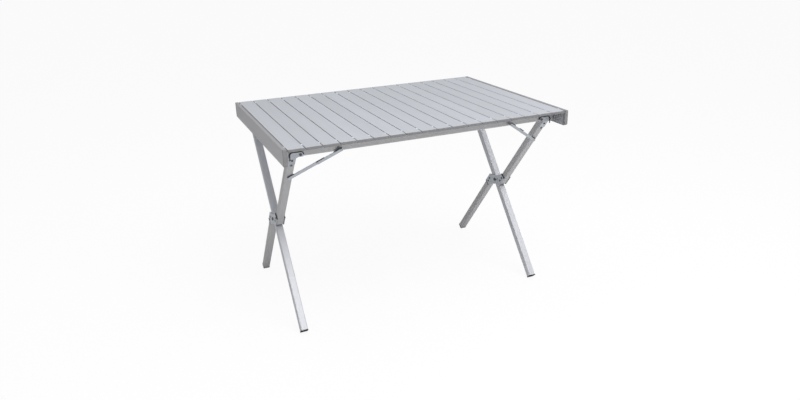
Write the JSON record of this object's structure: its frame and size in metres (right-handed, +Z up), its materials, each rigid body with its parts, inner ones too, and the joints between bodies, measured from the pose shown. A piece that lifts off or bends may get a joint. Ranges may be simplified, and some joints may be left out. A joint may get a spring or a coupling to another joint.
{
  "type": "folding roll-top camp table",
  "caption": "Camp table with a slatted roll-up metal top between deep end aprons, on crossed folding legs with riveted hubs and folding braces",
  "frame": {"origin": "floor level, under the middle of the table top", "axes": "+X along the table's length, +Y towards the rear edge, +Z up"},
  "size_m": [0.98, 0.7, 0.67],
  "materials": {
    "slats": "satin anodised aluminium with fine lengthwise grain",
    "aprons": "satin grey anodised aluminium",
    "apron_caps": "smooth grey moulded plastic",
    "rails": "satin anodised aluminium tube",
    "legs": "satin anodised aluminium tube",
    "plated_fittings": "zinc-plated pressed steel",
    "pins_and_rivets": "dark steel pins and rivets",
    "feet": "black moulded rubber"
  },
  "bodies": {
    "front_rail": {"front_rail": "rails", "front_rail_pins": "pins_and_rivets"},
    "rear_rail": {"rear_rail": "rails", "rear_rail_pins": "pins_and_rivets"},
    "left_split_leg": {"left_split_leg_upper": "legs", "left_split_leg_lower": "legs", "left_hub_plates": "plated_fittings", "left_hub_pin": "pins_and_rivets", "left_split_leg_rivets": "pins_and_rivets", "left_rear_foot": "feet", "left_front_bracket": "plated_fittings"},
    "left_through_leg": {"left_through_leg": "legs", "left_through_leg_rivets": "pins_and_rivets", "left_front_foot": "feet", "left_rear_bracket": "plated_fittings"},
    "left_front_brace_upper": {"left_front_brace_upper": "plated_fittings"},
    "left_front_brace_lower": {"left_front_brace_lower": "plated_fittings"},
    "left_rear_brace_upper": {"left_rear_brace_upper": "plated_fittings"},
    "left_rear_brace_lower": {"left_rear_brace_lower": "plated_fittings"},
    "right_split_leg": {"right_split_leg_upper": "legs", "right_split_leg_lower": "legs", "right_hub_plates": "plated_fittings", "right_hub_pin": "pins_and_rivets", "right_split_leg_rivets": "pins_and_rivets", "right_rear_foot": "feet", "right_front_bracket": "plated_fittings"},
    "right_through_leg": {"right_through_leg": "legs", "right_through_leg_rivets": "pins_and_rivets", "right_front_foot": "feet", "right_rear_bracket": "plated_fittings"},
    "right_front_brace_upper": {"right_front_brace_upper": "plated_fittings"},
    "right_front_brace_lower": {"right_front_brace_lower": "plated_fittings"},
    "right_rear_brace_upper": {"right_rear_brace_upper": "plated_fittings"},
    "right_rear_brace_lower": {"right_rear_brace_lower": "plated_fittings"},
    "left_apron": {"left_apron": "aprons", "left_apron_caps": "apron_caps", "left_rail_clips": "plated_fittings"},
    "slat_01": {"slat_01": "slats"},
    "slat_02": {"slat_02": "slats"},
    "slat_03": {"slat_03": "slats"},
    "slat_04": {"slat_04": "slats"},
    "slat_05": {"slat_05": "slats"},
    "slat_06": {"slat_06": "slats"},
    "slat_07": {"slat_07": "slats"},
    "slat_08": {"slat_08": "slats"},
    "slat_09": {"slat_09": "slats"},
    "slat_10": {"slat_10": "slats"},
    "slat_11": {"slat_11": "slats"},
    "slat_12": {"slat_12": "slats"},
    "slat_13": {"slat_13": "slats"},
    "slat_14": {"slat_14": "slats"},
    "slat_15": {"slat_15": "slats"},
    "slat_16": {"slat_16": "slats"},
    "slat_17": {"slat_17": "slats"},
    "slat_18": {"slat_18": "slats"},
    "right_apron": {"right_apron": "aprons", "right_apron_caps": "apron_caps", "right_rail_clips": "plated_fittings"}
  },
  "joints": [
    {"name": "scissor", "type": "hinge", "parent": "front_rail", "child": "rear_rail", "pos_m": [0, 0.01652, 0.3206], "axis": [1, 0, 0], "range_deg": [0, 69]},
    {"name": "left_legs_fold", "type": "hinge", "parent": "front_rail", "child": "left_split_leg", "pos_m": [-0.425, 0, 0.6338], "axis": [0, -1, 0], "range_deg": [0, 90]},
    {"name": "left_hub", "type": "hinge", "parent": "left_split_leg", "child": "left_through_leg", "pos_m": [-0.448, 0.01652, 0.3206], "axis": [1, 0, 0], "range_deg": [0, 69]},
    {"name": "left_front_brace_rail_pivot", "type": "hinge", "parent": "front_rail", "child": "left_front_brace_upper", "pos_m": [-0.299, -0.29, 0.6338], "axis": [0, -1, 0], "range_deg": [0, 108.31]},
    {"name": "left_front_brace_leg_pivot", "type": "hinge", "parent": "left_split_leg", "child": "left_front_brace_lower", "pos_m": [-0.448, -0.2, 0.54], "axis": [0, -1, 0], "range_deg": [-139.42, 0]},
    {"name": "left_rear_brace_rail_pivot", "type": "hinge", "parent": "rear_rail", "child": "left_rear_brace_upper", "pos_m": [-0.299, 0.29, 0.6338], "axis": [0, -1, 0], "range_deg": [0, 108.31]},
    {"name": "left_rear_brace_leg_pivot", "type": "hinge", "parent": "left_through_leg", "child": "left_rear_brace_lower", "pos_m": [-0.448, 0.2, 0.54], "axis": [0, -1, 0], "range_deg": [-139.42, 0]},
    {"name": "right_legs_fold", "type": "hinge", "parent": "front_rail", "child": "right_split_leg", "pos_m": [0.425, 0, 0.6338], "axis": [0, 1, 0], "range_deg": [0, 78]},
    {"name": "right_hub", "type": "hinge", "parent": "right_split_leg", "child": "right_through_leg", "pos_m": [0.448, 0.01652, 0.3206], "axis": [1, 0, 0], "range_deg": [0, 69]},
    {"name": "right_front_brace_rail_pivot", "type": "hinge", "parent": "front_rail", "child": "right_front_brace_upper", "pos_m": [0.299, -0.29, 0.6338], "axis": [0, 1, 0], "range_deg": [0, 108.31]},
    {"name": "right_front_brace_leg_pivot", "type": "hinge", "parent": "right_split_leg", "child": "right_front_brace_lower", "pos_m": [0.448, -0.2, 0.54], "axis": [0, 1, 0], "range_deg": [-115.81, 0]},
    {"name": "right_rear_brace_rail_pivot", "type": "hinge", "parent": "rear_rail", "child": "right_rear_brace_upper", "pos_m": [0.299, 0.29, 0.6338], "axis": [0, 1, 0], "range_deg": [0, 108.31]},
    {"name": "right_rear_brace_leg_pivot", "type": "hinge", "parent": "right_through_leg", "child": "right_rear_brace_lower", "pos_m": [0.448, 0.2, 0.54], "axis": [0, 1, 0], "range_deg": [-115.81, 0]},
    {"name": "top_lift", "type": "slide", "parent": "front_rail", "child": "left_apron", "axis": [0, 0, 1], "range_m": [0, 0.39]},
    {"name": "left_top_roll", "type": "hinge", "parent": "left_apron", "child": "slat_01", "pos_m": [-0.4775, 0, 0.666], "axis": [0, -1, 0], "range_deg": [0, 18]},
    {"name": "roll_02", "type": "hinge", "parent": "slat_01", "child": "slat_02", "pos_m": [-0.42444, 0, 0.666], "axis": [0, -1, 0], "range_deg": [0, 18]},
    {"name": "roll_03", "type": "hinge", "parent": "slat_02", "child": "slat_03", "pos_m": [-0.37139, 0, 0.666], "axis": [0, -1, 0], "range_deg": [0, 18]},
    {"name": "roll_04", "type": "hinge", "parent": "slat_03", "child": "slat_04", "pos_m": [-0.31833, 0, 0.666], "axis": [0, -1, 0], "range_deg": [0, 18]},
    {"name": "roll_05", "type": "hinge", "parent": "slat_04", "child": "slat_05", "pos_m": [-0.26528, 0, 0.666], "axis": [0, -1, 0], "range_deg": [0, 18]},
    {"name": "roll_06", "type": "hinge", "parent": "slat_05", "child": "slat_06", "pos_m": [-0.21222, 0, 0.666], "axis": [0, -1, 0], "range_deg": [0, 18]},
    {"name": "roll_07", "type": "hinge", "parent": "slat_06", "child": "slat_07", "pos_m": [-0.15917, 0, 0.666], "axis": [0, -1, 0], "range_deg": [0, 18]},
    {"name": "roll_08", "type": "hinge", "parent": "slat_07", "child": "slat_08", "pos_m": [-0.10611, 0, 0.666], "axis": [0, -1, 0], "range_deg": [0, 18]},
    {"name": "roll_09", "type": "hinge", "parent": "slat_08", "child": "slat_09", "pos_m": [-0.05306, 0, 0.666], "axis": [0, -1, 0], "range_deg": [0, 18]},
    {"name": "right_top_roll", "type": "hinge", "parent": "slat_09", "child": "slat_10", "pos_m": [0, 0, 0.666], "axis": [0, -1, 0], "range_deg": [0, 18]},
    {"name": "roll_11", "type": "hinge", "parent": "slat_10", "child": "slat_11", "pos_m": [0.05306, 0, 0.666], "axis": [0, -1, 0], "range_deg": [0, 18]},
    {"name": "roll_12", "type": "hinge", "parent": "slat_11", "child": "slat_12", "pos_m": [0.10611, 0, 0.666], "axis": [0, -1, 0], "range_deg": [0, 18]},
    {"name": "roll_13", "type": "hinge", "parent": "slat_12", "child": "slat_13", "pos_m": [0.15917, 0, 0.666], "axis": [0, -1, 0], "range_deg": [0, 18]},
    {"name": "roll_14", "type": "hinge", "parent": "slat_13", "child": "slat_14", "pos_m": [0.21222, 0, 0.666], "axis": [0, -1, 0], "range_deg": [0, 18]},
    {"name": "roll_15", "type": "hinge", "parent": "slat_14", "child": "slat_15", "pos_m": [0.26528, 0, 0.666], "axis": [0, -1, 0], "range_deg": [0, 18]},
    {"name": "roll_16", "type": "hinge", "parent": "slat_15", "child": "slat_16", "pos_m": [0.31833, 0, 0.666], "axis": [0, -1, 0], "range_deg": [0, 18]},
    {"name": "roll_17", "type": "hinge", "parent": "slat_16", "child": "slat_17", "pos_m": [0.37139, 0, 0.666], "axis": [0, -1, 0], "range_deg": [0, 18]},
    {"name": "roll_18", "type": "hinge", "parent": "slat_17", "child": "slat_18", "pos_m": [0.42444, 0, 0.666], "axis": [0, -1, 0], "range_deg": [0, 18]},
    {"name": "roll_19", "type": "hinge", "parent": "slat_18", "child": "right_apron", "pos_m": [0.4775, 0, 0.666], "axis": [0, -1, 0], "range_deg": [0, 18]}
  ],
  "couplings": [
    {"joint": "left_hub", "follows": "scissor", "ratio": 1},
    {"joint": "left_front_brace_rail_pivot", "follows": "left_legs_fold", "ratio": 1.1979},
    {"joint": "left_front_brace_leg_pivot", "follows": "left_legs_fold", "ratio": -1.5436},
    {"joint": "left_rear_brace_rail_pivot", "follows": "left_legs_fold", "ratio": 1.1979},
    {"joint": "left_rear_brace_leg_pivot", "follows": "left_legs_fold", "ratio": -1.5436},
    {"joint": "right_hub", "follows": "scissor", "ratio": 1},
    {"joint": "right_front_brace_rail_pivot", "follows": "right_legs_fold", "ratio": 1.3822},
    {"joint": "right_front_brace_leg_pivot", "follows": "right_legs_fold", "ratio": -1.4783},
    {"joint": "right_rear_brace_rail_pivot", "follows": "right_legs_fold", "ratio": 1.3822},
    {"joint": "right_rear_brace_leg_pivot", "follows": "right_legs_fold", "ratio": -1.4783},
    {"joint": "top_lift", "follows": "scissor", "m_per_rad": 0.32},
    {"joint": "roll_02", "follows": "left_top_roll", "ratio": 1},
    {"joint": "roll_03", "follows": "left_top_roll", "ratio": 1},
    {"joint": "roll_04", "follows": "left_top_roll", "ratio": 1},
    {"joint": "roll_05", "follows": "left_top_roll", "ratio": 1},
    {"joint": "roll_06", "follows": "left_top_roll", "ratio": 1},
    {"joint": "roll_07", "follows": "left_top_roll", "ratio": 1},
    {"joint": "roll_08", "follows": "left_top_roll", "ratio": 1},
    {"joint": "roll_09", "follows": "left_top_roll", "ratio": 1},
    {"joint": "roll_11", "follows": "right_top_roll", "ratio": 1},
    {"joint": "roll_12", "follows": "right_top_roll", "ratio": 1},
    {"joint": "roll_13", "follows": "right_top_roll", "ratio": 1},
    {"joint": "roll_14", "follows": "right_top_roll", "ratio": 1},
    {"joint": "roll_15", "follows": "right_top_roll", "ratio": 1},
    {"joint": "roll_16", "follows": "right_top_roll", "ratio": 1},
    {"joint": "roll_17", "follows": "right_top_roll", "ratio": 1},
    {"joint": "roll_18", "follows": "right_top_roll", "ratio": 1},
    {"joint": "roll_19", "follows": "right_top_roll", "ratio": 1}
  ]
}
